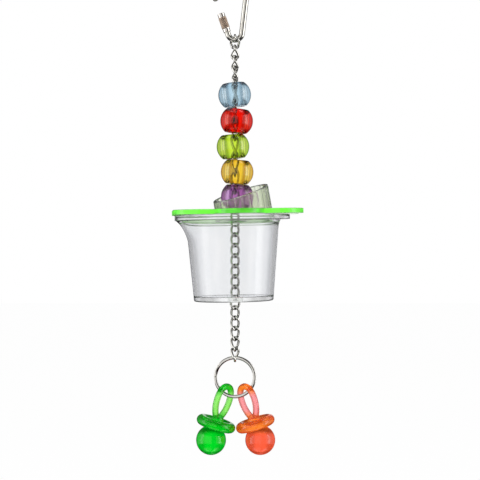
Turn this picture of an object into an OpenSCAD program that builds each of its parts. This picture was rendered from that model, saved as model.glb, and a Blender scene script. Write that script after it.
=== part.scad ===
// Foraging bird toy: pear link, twist chain, five beads, slanted ring, flower lid, clear cup, split ring and two pacifiers.
// Millimetres, Z up, the viewer of the front stands at -Y. The origin is the hanging point, inside the top bend of the pear link.

/* [Pear link] */
// Thickness of the pear link's round wire
wire_d = 3.4; // [2.6:0.1:3.8]
// Centreline radius of the small lower bend
small_bend_r = 4.2; // [3.6:0.1:6]
// Centreline radius of the big upper bend
big_bend_r = 12; // [10:0.5:16]
// Distance between the centres of the two bends
bend_spacing = 34.4; // [30:0.2:44]
// Lean of the link to the left, in degrees
link_lean = 6.4; // [0:0.2:10]
// Open mouth above the sleeve, along the left leg
mouth = 7.8; // [5:0.2:9]

/* [Lock sleeve] */
// Outside diameter of the sleeve
sleeve_d = 4.8; // [4.6:0.1:6.5]
// Length of the sleeve
sleeve_len = 11.8; // [10:0.2:14]
// Bare wire between the lower bend and the sleeve
sleeve_start = 1.9; // [1:0.1:3]
// Radial play of the sleeve on the wire
sleeve_play = 0.05; // [0.02:0.01:0.1]
// Length of the knurled middle
knurl_len = 6.4; // [4:0.2:8]
// Number of knurl grooves round the sleeve
knurl_count = 16; // [10:1:20]
// Slant of the knurl grooves, in degrees
knurl_slant = 16; // [8:1:20]

/* [Chain] */
// Number of links from the pear link to the split ring
link_count = 31; // [29:1:33]
// Distance from one link to the next
link_pitch = 6.25; // [6:0.05:7]
// Thickness of the chain wire
link_wire_d = 1.4; // [1.2:0.05:1.5]
// Half width of a link, measured to the middle of its wire
link_half_w = 2.15; // [2.05:0.05:2.3]
// Play between one link and the next
link_gap = 0.35; // [0.3:0.05:0.45]
// Turn of a link's top end to one side of its middle, in degrees; its bottom end is turned as far the other way
link_turn = 45; // [42:1:45]
// Turn of the upper chain about its own line, seen from the chain in the cup
chain_twist = 90; // [80:5:100]
// The link below which the chain starts to turn back
twist_from = 6; // [5:1:7]
// Number of links, hidden in the beads, over which it turns back
twist_links = 12; // [11:1:13]
// Extra half width of the first link, so that its twisted sides clear the pear link's wire
hook_room = 1.25; // [1.2:0.05:1.4]
// Number of links over which the chain turns round to face the wires at its ends
facing_links = 3; // [3:1:5]
// Which link, counted from the top, stops the cup
stop_link = 26; // [26:1:26]
// Half width of the spread lower end of that link
stop_half_w = 2.6; // [2.55:0.05:2.8]
// Play of the cup above that link, down the chain
stop_play = 0.8; // [0.5:0.1:1]

/* [Beads] */
// Largest diameter of a bead
bead_d = 19.6; // [18:0.2:22]
// Length of a bead along its hole
bead_len = 14.2; // [12.8:0.1:14.6]
// Diameter of a bead's flat ends
bead_flat_d = 12.8; // [12:0.2:14]
// Diameter of a bead's hole
bead_hole_d = 9.8; // [9.6:0.1:11]
// Play between stacked pieces
seat_gap = 0.3; // [0.25:0.05:0.5]
// Lean of the blue bead in degrees, right side up
blue_lean = 6; // [-6:0.5:6]
// Lean of the red bead in degrees
red_lean = -6; // [-6:0.5:6]
// Lean of the lime bead in degrees
lime_lean = 4.5; // [-6:0.5:6]
// Lean of the amber bead in degrees
amber_lean = -4; // [-6:0.5:6]
// Lean of the purple bead in degrees
purple_lean = -2; // [-6:0.5:6]
// Shift of the blue bead to the right of the chain
blue_shift = -0.2; // [-0.8:0.1:0.8]
// Shift of the red bead
red_shift = 1; // [-1:0.1:1]
// Shift of the lime bead
lime_shift = -1.2; // [-1.2:0.1:1.2]
// Shift of the amber bead
amber_shift = 1.3; // [-1.3:0.1:1.3]
// Shift of the purple bead
purple_shift = 1.4; // [-1.5:0.1:1.5]

/* [Slanted ring] */
// Outside diameter of the slanted ring
collar_d = 34.1; // [31:0.2:36]
// Wall of the slanted ring
collar_wall = 2; // [1.5:0.1:2.6]
// Height of the slanted ring on its axis
collar_h = 10.4; // [9:0.2:13]
// Slope of the cut up to the right, in degrees
collar_cut_x = 16.7; // [8:0.5:18]
// Slope of the cut up to the back, in degrees
collar_cut_y = 8.3; // [0:0.5:10]
// Lean of the ring to the left, in degrees
collar_lean = 9; // [0:0.5:10]
// Shift of the ring to the right of the chain
collar_shift = 5.1; // [3:0.1:5.5]
// Number of ribs inside the ring
collar_ribs = 20; // [12:1:24]
// Radius of a rib
collar_rib_r = 0.5; // [0.3:0.05:0.6]

/* [Flower lid] */
// Thickness of the lid
lid_t = 3; // [2.4:0.1:4]
// Radius of each petal
petal_r = 14.8; // [14.6:0.1:16]
// Distance of the petals' centres from the middle
petal_out = 27.6; // [26.6:0.1:28]
// Number of petals
petals = 6; // [6:1:6]
// Turn of the petals in degrees
petal_turn = 3.5; // [0:0.5:30]
// Diameter of the lid's hole for the chain
lid_hole_d = 7.4; // [7:0.1:8.6]
// Shift of the lid to the right of the chain
lid_shift = 1.1; // [0:0.1:1.5]

/* [Cup] */
// Height of the cup over its flange
cup_h = 51.5; // [46:0.5:60]
// Radius of the cup at its base
cup_base_r = 23.9; // [22:0.1:26]
// Radius of the cup under the flare of its rim
cup_neck_r = 27.6; // [26:0.1:29]
// Height of the flare under the flange
flare_h = 5.5; // [4:0.1:8]
// Width that the flare adds
flare_w = 1.5; // [0.8:0.1:3]
// Radius of the flange
flange_r = 34.6; // [33:0.1:37]
// Thickness of the flange
flange_t = 3; // [2.4:0.1:4]
// Thickness of the cup's wall
cup_wall = 2.8; // [2:0.1:3.2]
// Thickness of the cup's floor
cup_floor = 2.8; // [2:0.1:3.6]
// Diameter of the hole in the cup's floor
cup_hole_d = 6.2; // [6.1:0.05:6.3]
// Shift of the cup's middle to the left of that hole
cup_shift = 0.7; // [0:0.1:1]
// Lean of the cup and the lid to the left, in degrees
rig_lean = 1; // [0:0.25:1.5]
// Reach of the pouring lip past the cup's neck
lip_reach = 5.1; // [3:0.1:5.5]
// Radius of the pouring lip at the rim
lip_r = 8.5; // [6:0.1:9]
// Radius of the pouring lip where it starts
lip_low_r = 3; // [2:0.1:4]
// Height of the pouring lip
lip_h = 12.5; // [9:0.5:16]

/* [Split ring] */
// Outside diameter of the split ring
ring_d = 25.4; // [24.4:0.2:27]
// Width of its flat wire, seen from the front
ring_w = 2; // [1.6:0.1:2.1]
// Thickness of one turn
ring_turn_t = 0.95; // [0.8:0.05:1]
// Play between the two turns
ring_play = 0.1; // [0.08:0.02:0.14]
// Half of the angle over which the wire steps from one turn to the other
ring_step = 20; // [15:1:30]
// Where the step lies, in degrees from the right
ring_step_at = 156; // [120:1:160]

/* [Pacifiers] */
// Diameter of the ball
ball_d = 18; // [16:0.2:18.4]
// Distance of the ball's centre below the shield's middle
ball_drop = 10.2; // [9.6:0.1:11]
// Diameter of the round shield
shield_d = 24; // [22:0.2:25]
// Radius of the shield's thick rim
shield_rim_r = 3.1; // [2.6:0.1:3.3]
// Thickness of the shield inside its rim
shield_t = 3.6; // [3:0.1:4.4]
// Height of the loop's top above the shield's middle
loop_h = 25.2; // [24.8:0.1:25.6]
// Width of the loop's rod, seen in the loop's plane
loop_w = 3.9; // [3.4:0.1:4]
// Thickness of the loop's rod across that plane
loop_t = 3.5; // [2.8:0.1:3.6]
// Centreline radius of the loop's top
loop_top_r = 6.2; // [6:0.1:6.6]
// Centreline radius of the loop's sides
loop_side_r = 15; // [14.5:0.1:16]
// Where the top bend goes over into the sides, in degrees above level
loop_join = 15; // [12:1:18]
// Splay of both pacifiers away from each other, in degrees
pacifier_splay = 17; // [16:0.5:20]
// Turn of the green pacifier round its own axis, in degrees
green_turn = 55; // [52:1:66]
// Turn of the orange pacifier round its own axis, in degrees
orange_turn = -53; // [-64:1:-53]
// Height from the split ring's centre down to the shields' middles
shield_down = 27.9; // [27.5:0.1:28]
// Gap between the two shields
shield_gap = 0.3; // [0.3:0.05:0.6]
// Shift of both pacifiers to the right
pacifier_shift = 0.4; // [0:0.1:0.6]

/* [Hidden] */
$fn = 96;

// Pear link
wire_r = wire_d / 2;
leg_angle = asin((big_bend_r - small_bend_r) / bend_spacing);
leg_len = bend_spacing * cos(leg_angle);
big_x = -bend_spacing * sin(link_lean);
big_z = -sqrt(pow(big_bend_r - wire_r, 2) - pow(big_x, 2));
small_z = big_z - bend_spacing * cos(link_lean);
sleeve_end = sleeve_start + sleeve_len;
stub_start = sleeve_end + mouth;
lower_leg_end = sleeve_end - 0.5;
// The legs are a hair thicker than the bends and reach a little way over their ends
leg_r = wire_r + 0.02;
leg_lap = 0.25;

// Chain
link_r = link_wire_d / 2;
link_len = link_pitch + link_wire_d + link_gap;
first_link_z = small_z - small_bend_r + wire_r + link_r + link_gap;
last_link_z = first_link_z - (link_count - 1) * link_pitch;
hook_half_w = wire_r + link_r + hook_room;
hook_last = 1;
core_last = stop_link;
tail_last = link_count - 2;
link_sides = 8;
link_steps = 6;

// Cup and lid, in a frame that leans with the cup and stands in the middle of its floor hole
stop_z = first_link_z - (stop_link - 1) * link_pitch;
stop_leg = link_len - stop_half_w - link_half_w;
stop_drop = link_half_w + (cup_hole_d / 2 - link_r - link_half_w) * stop_leg / (stop_half_w - link_half_w);
cup_base_z = stop_z - stop_drop + stop_play;
lid_low = cup_h + seat_gap;
lid_high = lid_low + lid_t;
function frame_x(x, h) = (x + h * sin(rig_lean)) / cos(rig_lean);
function plane_z(x, h) = cup_base_z + h / cos(rig_lean) + x * tan(rig_lean);
lip_x = -cup_neck_r - lip_reach + lip_r;
cup_slope = (cup_neck_r - cup_base_r) / (cup_h - flange_t - flare_h);
cup_in_low = cup_base_r + cup_slope * cup_floor - cup_wall;

// Beads
bead_r = bead_d / 2;
bead_half = bead_len / 2;
flat_r = bead_flat_d / 2;
bulge = bead_r - flat_r;
bulge_r = (pow(bead_half, 2) + pow(bulge, 2)) / (2 * bulge);
// Height from a lower piece to the bead on it, so that the flats keep the play at both ends of their overlap
function rise_at(x, ml, al, hl, mu, au) = hl * cos(al) + bead_half * cos(au) + (x - ml) * tan(al) - (x - mu) * tan(au);
function rise_over(ml, al, hl, mu, au) = max(rise_at(max(ml, mu) - flat_r, ml, al, hl, mu, au), rise_at(min(ml, mu) + flat_r, ml, al, hl, mu, au));
function rise(xl, al, hl, xu, au) = seat_gap + rise_over(xl - hl * sin(al), al, hl, xu + bead_half * sin(au), au);
purple_z = plane_z(purple_shift, lid_high) + rise(purple_shift, rig_lean, 0, purple_shift, purple_lean);
amber_z = purple_z + rise(purple_shift, purple_lean, bead_half, amber_shift, amber_lean);
lime_z = amber_z + rise(amber_shift, amber_lean, bead_half, lime_shift, lime_lean);
red_z = lime_z + rise(lime_shift, lime_lean, bead_half, red_shift, red_lean);
blue_z = red_z + rise(red_shift, red_lean, bead_half, blue_shift, blue_lean);

// Split ring
ring_out = ring_d / 2;
ring_mid = ring_out - ring_w / 2;
ring_z = last_link_z - link_len + link_r + link_gap - ring_out + ring_w;
ring_layer = (ring_turn_t + ring_play) / 2;
ring_steps = 96;

// Pacifiers
shield_r = shield_d / 2;
shield_mid = shield_r - shield_rim_r;
shield_reach = shield_mid * cos(pacifier_splay) + shield_rim_r;
pacifier_x = shield_reach + shield_gap / 2;
pacifier_z = ring_z - shield_down;
loop_mid = loop_h - loop_w / 2 - loop_top_r;
side_x = (loop_top_r - loop_side_r) * cos(loop_join);
side_z = (loop_top_r - loop_side_r) * sin(loop_join);
side_sweep = acos((loop_w * 0.42 - side_x) / loop_side_r);
stem_h = loop_mid + side_z - loop_side_r * sin(side_sweep) + loop_t * 0.35;

// Chain link as a swept wire
function unit(v) = v / norm(v);
// A point of the flat link outline: half width and height below the top of the link
function outline(i, n, top_w, low_w, len) =
    i <= n ? [top_w * cos(180 * i / n), top_w * sin(180 * i / n) - top_w]
    : i == n + 1 ? [-(top_w + low_w) / 2, -len / 2]
    : i <= 2 * n + 2 ? [-low_w * cos(180 * (i - n - 2) / n), -len + low_w - low_w * sin(180 * (i - n - 2) / n)]
    : [(top_w + low_w) / 2, -len / 2];
// The ends of a link stay nearly flat, and its sides take most of the twist
function turn_at(h, len, top_turn, low_turn) =
    let (f = min(1, max(0, -h / len)))
    top_turn + (low_turn - top_turn) * f * f * (3 - 2 * f);
function twisted(p, len, top_turn, low_turn) =
    let (a = turn_at(p[1], len, top_turn, low_turn))
    [p[0] * cos(a), p[0] * sin(a), p[1]];
// One ring of the wire's skin round a point of the outline
function skin(path, i, total, len, top_turn, low_turn, r) =
    let (p = path[i])
    let (t = unit(path[(i + 1) % total] - path[(i + total - 1) % total]))
    let (a = turn_at(p[2], len, top_turn, low_turn))
    let (m = [-sin(a), cos(a), 0])
    let (n2 = unit(m - (m * t) * t))
    let (n1 = cross(t, n2))
    [for (j = [0 : link_sides - 1]) p + r * (cos(360 * (j + 0.5) / link_sides) * n1 + sin(360 * (j + 0.5) / link_sides) * n2)];

module chain_link(top_w, low_w, top_turn, low_turn) {
    total = 2 * link_steps + 4;
    path = [for (i = [0 : total - 1]) twisted(outline(i, link_steps, top_w, low_w, link_len), link_len, top_turn, low_turn)];
    points = [for (i = [0 : total - 1]) each skin(path, i, total, link_len, top_turn, low_turn, link_r * 1.03)];
    faces = [for (i = [0 : total - 1]) for (j = [0 : link_sides - 1])
        let (i2 = (i + 1) % total)
        let (j2 = (j + 1) % link_sides)
        let (a = i * link_sides + j)
        let (b = i2 * link_sides + j)
        let (c = i2 * link_sides + j2)
        let (d = i * link_sides + j2)
        each [[a, c, b], [a, d, c]]];
    polyhedron(points = points, faces = faces, convexity = 6);
}

// How far the middle of a link is turned out of the front plane: the chain turns back inside the beads, the end links
// face the wire they hang on, and the links next to them turn less and less
function facing(k) =
    chain_twist * (1 - min(1, max(0, (k - twist_from) / twist_links)))
    + (90 + link_turn - chain_twist) * max(0, 1 - (k - 1) / facing_links)
    + (90 - link_turn) * max(0, 1 - (link_count - k) / facing_links);

module numbered_link(k) {
    top_w = k == 1 ? hook_half_w : link_half_w;
    low_w = k == stop_link ? stop_half_w : link_half_w;
    top_turn = facing(k) - link_turn;
    low_turn = facing(k) + link_turn;
    translate([0, 0, first_link_z - (k - 1) * link_pitch])
    chain_link(top_w, low_w, top_turn, low_turn);
}

module links(from, to) {
    color([0.78, 0.77, 0.73])
    for (k = [from : to]) numbered_link(k);
}

// Pear link: two bends and two legs of one round wire, with an open mouth in the left leg
module bend(r, from, sweep) {
    rotate([90, 0, 0])
    rotate([0, 0, from])
    rotate_extrude(angle = sweep)
    translate([r, 0])
    circle(r = wire_r);
}

// Puts its child on a leg, with Z running up the leg from the lower bend; side is 1 on the right and -1 on the left
module on_leg(side, at) {
    translate([side * small_bend_r * cos(leg_angle), 0, -small_bend_r * sin(leg_angle)])
    rotate([0, side * leg_angle, 0])
    translate([0, 0, at])
    children();
}

module in_link() {
    translate([0, 0, small_z])
    rotate([0, -link_lean, 0])
    children();
}

module pear_link() {
    color([0.8, 0.78, 0.74])
    in_link() {
        bend(small_bend_r, 180 + leg_angle, 180 - 2 * leg_angle);
        translate([0, 0, bend_spacing])
        bend(big_bend_r, -leg_angle, 180 + 2 * leg_angle);
        on_leg(1, -leg_lap)
        cylinder(r = leg_r, h = leg_len + 2 * leg_lap);
        on_leg(-1, -leg_lap)
        cylinder(r = leg_r, h = lower_leg_end + leg_lap);
        on_leg(-1, stub_start)
        cylinder(r = leg_r, h = leg_len - stub_start + leg_lap);
    }
}

// Sleeve: a turned barrel with narrower plain ends and slanted knurl grooves round its middle
module lock_sleeve() {
    color([0.7, 0.6, 0.5])
    in_link()
    on_leg(-1, sleeve_start)
    difference() {
        union() {
            cylinder(r = sleeve_d / 2 - 0.25, h = sleeve_len);
            translate([0, 0, (sleeve_len - knurl_len) / 2 - 0.6])
            cylinder(r = sleeve_d / 2, h = knurl_len + 1.2);
        }
        translate([0, 0, -1])
        cylinder(r = leg_r + sleeve_play, h = sleeve_len + 2);
        for (i = [0 : knurl_count - 1])
            rotate([0, 0, i * 360 / knurl_count])
            translate([sleeve_d / 2 + 0.1, 0, sleeve_len / 2])
            rotate([knurl_slant, 0, 0])
            cylinder(r = 0.26, h = knurl_len, center = true, $fn = 24);
    }
}

// Bead: a barrel with bulging sides and flat ends on a straight hole
module bead(x, z, lean) {
    translate([x, 0, z])
    rotate([0, -lean, 0])
    rotate_extrude()
    intersection() {
        translate([bead_r - bulge_r, 0])
        circle(r = bulge_r);
        translate([bead_hole_d / 2, -bead_half])
        square([bead_r, bead_len]);
    }
}

module blue_bead() {
    color([0.45, 0.62, 0.75])
    bead(blue_shift, blue_z, blue_lean);
}

module red_bead() {
    color([0.85, 0.1, 0.05])
    bead(red_shift, red_z, red_lean);
}

module lime_bead() {
    color([0.6, 0.75, 0.05])
    bead(lime_shift, lime_z, lime_lean);
}

module amber_bead() {
    color([0.9, 0.65, 0.1])
    bead(amber_shift, amber_z, amber_lean);
}

module purple_bead() {
    color([0.45, 0.2, 0.6])
    bead(purple_shift, purple_z, purple_lean);
}

module in_cup() {
    translate([0, 0, cup_base_z])
    rotate([0, -rig_lean, 0])
    children();
}

// Slanted ring: a leaning tube, cut level below where it stands on the lid and slanted above
module slant_ring() {
    color([0.68, 0.76, 0.6])
    in_cup()
    translate([frame_x(collar_shift, lid_high), 0, lid_high])
    difference() {
        rotate([0, -collar_lean, 0])
        translate([0, 0, -8])
        difference() {
            cylinder(r = collar_d / 2, h = collar_h + 24);
            difference() {
                translate([0, 0, -1])
                cylinder(r = collar_d / 2 - collar_wall, h = collar_h + 26);
                for (i = [0 : collar_ribs - 1])
                    rotate([0, 0, i * 360 / collar_ribs])
                    translate([collar_d / 2 - collar_wall, 0, -2])
                    cylinder(r = collar_rib_r, h = collar_h + 28, $fn = 24);
            }
        }
        translate([-40, -40, -40])
        cube([80, 80, 40.02]);
        translate([0, 0, collar_h])
        rotate([collar_cut_y, -collar_cut_x, 0])
        translate([-40, -40, 0])
        cube([80, 80, 60]);
    }
}

// Lid: a flat flower of round petals with a hole for the chain
module flower_lid() {
    color([0.3, 0.85, 0.15])
    in_cup()
    translate([frame_x(lid_shift, lid_low), 0, lid_low])
    linear_extrude(height = lid_t)
    difference() {
        union() {
            circle(r = petal_out - 2);
            for (i = [0 : petals - 1])
                rotate(petal_turn - 90 + i * 360 / petals)
                translate([petal_out, 0])
                circle(r = petal_r);
        }
        translate([-lid_shift, 0])
        circle(r = lid_hole_d / 2);
    }
}

// Cup: thick tapered wall, flat floor with the chain hole, flange, flared neck and a pouring lip on the left
module clear_cup() {
    color([0.85, 0.9, 0.92, 0.4])
    in_cup()
    difference() {
        translate([-cup_shift, 0, 0])
        difference() {
            union() {
                rotate_extrude()
                polygon([
                    [0, 0],
                    [cup_base_r - 1.1, 0],
                    [cup_base_r - 0.3, 0.35],
                    [cup_base_r, 1.1],
                    [cup_neck_r, cup_h - flange_t - flare_h],
                    [cup_neck_r + flare_w * 0.3, cup_h - flange_t - flare_h * 0.45],
                    [cup_neck_r + flare_w, cup_h - flange_t],
                    [flange_r - 0.3, cup_h - flange_t],
                    [flange_r, cup_h - flange_t + 0.3],
                    [flange_r, cup_h - 0.4],
                    [flange_r - 0.4, cup_h],
                    [0, cup_h]
                ]);
                translate([lip_x, 0, cup_h - flange_t - lip_h])
                cylinder(r1 = lip_low_r, r2 = lip_r, h = lip_h + 0.5);
            }
            translate([0, 0, cup_floor])
            cylinder(r1 = cup_in_low, r2 = cup_in_low + cup_slope * (cup_h + 1 - cup_floor), h = cup_h + 1 - cup_floor);
            translate([lip_x, 0, cup_h - lip_h + 1])
            cylinder(r1 = lip_low_r - 2, r2 = lip_r - cup_wall, h = lip_h - 0.9);
        }
        translate([0, 0, -1])
        cylinder(r = cup_hole_d / 2, h = cup_floor + 2);
    }
}

// Split ring: one flat wire, two turns side by side, stepping over between its two ends
function ring_side(a) = a < 360 - ring_step ? -ring_layer : a > 360 + ring_step ? ring_layer : ring_layer * sin((a - 360) / ring_step * 90);
function ring_section() = [
    [-ring_w / 2, -ring_turn_t * 0.2], [-ring_w * 0.3, -ring_turn_t / 2], [ring_w * 0.3, -ring_turn_t / 2], [ring_w / 2, -ring_turn_t * 0.2],
    [ring_w / 2, ring_turn_t * 0.2], [ring_w * 0.3, ring_turn_t / 2], [-ring_w * 0.3, ring_turn_t / 2], [-ring_w / 2, ring_turn_t * 0.2]];

module split_ring() {
    span = 720 - 2 * ring_step - 2;
    start = ring_step + 1;
    section = ring_section();
    n = len(section);
    points = [for (i = [0 : ring_steps]) for (q = section)
        let (a = start + span * i / ring_steps)
        let (r = ring_mid + q[0])
        [r * cos(a + ring_step_at), ring_side(a) + q[1], r * sin(a + ring_step_at)]];
    sides = [for (i = [0 : ring_steps - 1]) for (j = [0 : n - 1])
        let (j2 = (j + 1) % n)
        each [[i * n + j, (i + 1) * n + j, (i + 1) * n + j2], [i * n + j, (i + 1) * n + j2, i * n + j2]]];
    first = [[for (j = [0 : n - 1]) j]];
    last = [[for (j = [n - 1 : -1 : 0]) ring_steps * n + j]];
    color([0.75, 0.75, 0.73])
    translate([0, 0, ring_z])
    polyhedron(points = points, faces = concat(sides, first, last), convexity = 8);
}

// Pacifier: ball, dished round shield and an oval loop, moulded as one
module rod_section(grow) {
    translate([(loop_w - loop_t) / 2, 0])
    circle(r = loop_t / 2 + grow);
    translate([-(loop_w - loop_t) / 2, 0])
    circle(r = loop_t / 2 + grow);
    translate([-(loop_w - loop_t) / 2, -loop_t / 2 - grow])
    square([loop_w - loop_t, loop_t + 2 * grow]);
}

module loop_arc(x, z, r, from, sweep, grow) {
    translate([x, 0, z])
    rotate([90, 0, 0])
    rotate([0, 0, from])
    rotate_extrude(angle = sweep)
    translate([r, 0])
    rod_section(grow);
}

module pacifier() {
    translate([0, 0, -ball_drop])
    sphere(r = ball_d / 2);
    rotate_extrude() {
        translate([shield_mid, 0])
        circle(r = shield_rim_r);
        translate([0, -shield_t / 2])
        square([shield_mid, shield_t]);
    }
    cylinder(r1 = loop_w + 0.6, r2 = loop_w * 0.82, h = stem_h);
}

module loop() {
    loop_arc(0, loop_mid, loop_top_r, loop_join - 2, 184 - 2 * loop_join, 0.02);
    loop_arc(side_x, loop_mid + side_z, loop_side_r, -side_sweep, side_sweep + loop_join, 0);
    mirror([1, 0, 0])
    loop_arc(side_x, loop_mid + side_z, loop_side_r, -side_sweep, side_sweep + loop_join, 0);
}

module placed_pacifier(side, turn) {
    translate([pacifier_shift + side * pacifier_x, 0, pacifier_z])
    rotate([0, -side * pacifier_splay, 0]) {
        pacifier();
        rotate([0, 0, turn])
        loop();
    }
}

module green_pacifier() {
    color([0.1, 0.75, 0.15])
    placed_pacifier(-1, green_turn);
}

module orange_pacifier() {
    color([1, 0.35, 0.2])
    placed_pacifier(1, orange_turn);
}

pear_link();
lock_sleeve();
links(1, hook_last);  // hook_chain
links(hook_last + 1, core_last);  // core_chain
links(core_last + 1, tail_last);  // tail_chain
links(tail_last + 1, link_count);  // end_chain
blue_bead();
red_bead();
lime_bead();
amber_bead();
purple_bead();
slant_ring();
flower_lid();
clear_cup();
split_ring();
green_pacifier();
orange_pacifier();
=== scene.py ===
"""A hanging foraging toy for a bird, dressed for its photograph.

Lengths are in millimetres until a mesh is made, X to the viewer's right, Y away from the viewer, Z up.
"""

import bpy
import numpy as np
from mathutils import Euler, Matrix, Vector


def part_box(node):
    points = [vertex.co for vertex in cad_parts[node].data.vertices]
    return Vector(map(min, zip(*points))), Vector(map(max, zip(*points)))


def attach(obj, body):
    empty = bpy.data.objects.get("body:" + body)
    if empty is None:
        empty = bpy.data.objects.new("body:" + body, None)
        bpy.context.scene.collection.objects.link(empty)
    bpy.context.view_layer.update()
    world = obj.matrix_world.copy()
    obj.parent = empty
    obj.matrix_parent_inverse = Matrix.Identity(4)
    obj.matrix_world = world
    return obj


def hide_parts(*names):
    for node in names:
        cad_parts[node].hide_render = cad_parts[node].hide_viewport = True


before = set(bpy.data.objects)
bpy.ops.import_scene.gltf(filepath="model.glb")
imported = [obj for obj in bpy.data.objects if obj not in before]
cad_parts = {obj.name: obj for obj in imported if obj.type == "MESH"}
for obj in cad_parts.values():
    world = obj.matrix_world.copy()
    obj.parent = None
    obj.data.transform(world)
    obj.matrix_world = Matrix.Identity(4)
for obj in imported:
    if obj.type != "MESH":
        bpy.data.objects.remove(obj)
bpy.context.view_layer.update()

# The photograph.
# A level camera with a long lens stands a little under a metre in front of the toy, which hangs before white.
# The toy is cut off above by the photo's edge, a little over the mouth of its quick link.
MM = 0.001
eye = (3.0, -858.0, -168.06)
focal_px = 1430.0
photo_px = 480.0
sensor_mm = 36.0
sight_end = 30000.0

eye_data = bpy.data.cameras.new("photo_camera")
eye_data.sensor_width = sensor_mm
eye_data.lens = focal_px / photo_px * sensor_mm
eye_data.clip_end = sight_end * MM
camera = bpy.data.objects.new("photo_camera", eye_data)
camera.location = [v * MM for v in eye]
camera.rotation_euler = Euler((np.pi / 2, 0, 0))
bpy.context.scene.collection.objects.link(camera)
bpy.context.scene.camera = camera
bpy.context.scene.view_settings.view_transform = "Standard"

# A small photo studio: white walls with dark bands, a soft box on each side and one over the toy, a pale floor.
# The camera sees plain white. Mirrors and clear plastic each see bright and dark bands of their own, which draw
# their outlines, and they don't see the lamps, which are the light of the soft boxes.
world_light = 0.66
world_tint = (0.97, 0.985, 1, 1)
wall_blue = 0.985
soft_box_w, soft_box_h, soft_box_away = 700.0, 1100.0, 1300.0
# Each soft box: its turn round the toy and its rise in degrees, and its power. 0 is towards the camera, 90 right.
soft_boxes = {"left": (-77, 6, 8.0), "right": (71, 10, 7.0), "over": (15, 75, 9.0)}
# The walls: pairs of such a turn and a brightness, and pairs of the rise's sine and a share of that brightness.
mirrored_round = (
    (-180, 0.05), (-155, 0.05), (-128, 0.20), (-112, 0.6), (-94, 0.9), (-81, 2.6), (-74, 2.6),
    (-60, 0.75), (-9, 0.72), (2, 0.85), (7, 0.05), (38, 0.05), (48, 0.9), (60, 1.0), (67, 3.4),
    (77, 3.4), (90, 1.0), (110, 0.6), (128, 0.20), (155, 0.05), (180, 0.05))
through_round = (
    (-180, 1.0), (-169, 1.0), (-158, 0.60), (-140, 0.60), (-130, 0.85), (-120, 0.80), (-108, 0.50),
    (-84, 0.50), (-72, 0.75), (-9, 0.72), (4, 0.80), (9, 0.10), (36, 0.10), (46, 0.8), (72, 0.75),
    (84, 0.50), (108, 0.50), (120, 0.80), (130, 0.85), (140, 0.60), (158, 0.60), (169, 1.0), (180, 1.0))
mirrored_up = (
    (-1.0, 0.7), (-0.86, 0.6), (-0.72, 0.02), (-0.42, 0.02), (-0.28, 1.0), (0.50, 1.0),
    (0.66, 0.06), (0.82, 0.08), (0.90, 0.9), (1.0, 0.9))
through_up = (
    (-1.0, 0.9), (-0.82, 0.85), (-0.70, 0.10), (-0.55, 0.10), (-0.38, 1.0), (0.45, 1.0),
    (0.60, 0.35), (0.75, 0.8), (1.0, 0.8))
toy_middle_z = -190.0
floor_z, floor_far = -470.0, 6000.0
floor_white, floor_glow = 0.92, 0.97


class Value:
    """A node's output socket that can be used in sums, so that a pattern reads like its formula."""

    def __init__(self, look, socket):
        self.look, self.socket = look, socket

    def math(self, operation, a, b):
        return self.look.math(operation, a, b)

    def __add__(self, other):
        return self.math("ADD", self, other)

    def __radd__(self, other):
        return self.math("ADD", other, self)

    def __sub__(self, other):
        return self.math("SUBTRACT", self, other)

    def __rsub__(self, other):
        return self.math("SUBTRACT", other, self)

    def __mul__(self, other):
        return self.math("MULTIPLY", self, other)

    def __rmul__(self, other):
        return self.math("MULTIPLY", other, self)

    def __truediv__(self, other):
        return self.math("DIVIDE", self, other)

    def __rtruediv__(self, other):
        return self.math("DIVIDE", other, self)

    def step(self, low, high):
        """0 below low, 1 above high, and a straight rise between them."""
        return self.look.node("ShaderNodeMapRange", {}, {"Value": self, "From Min": low, "From Max": high})


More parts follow.
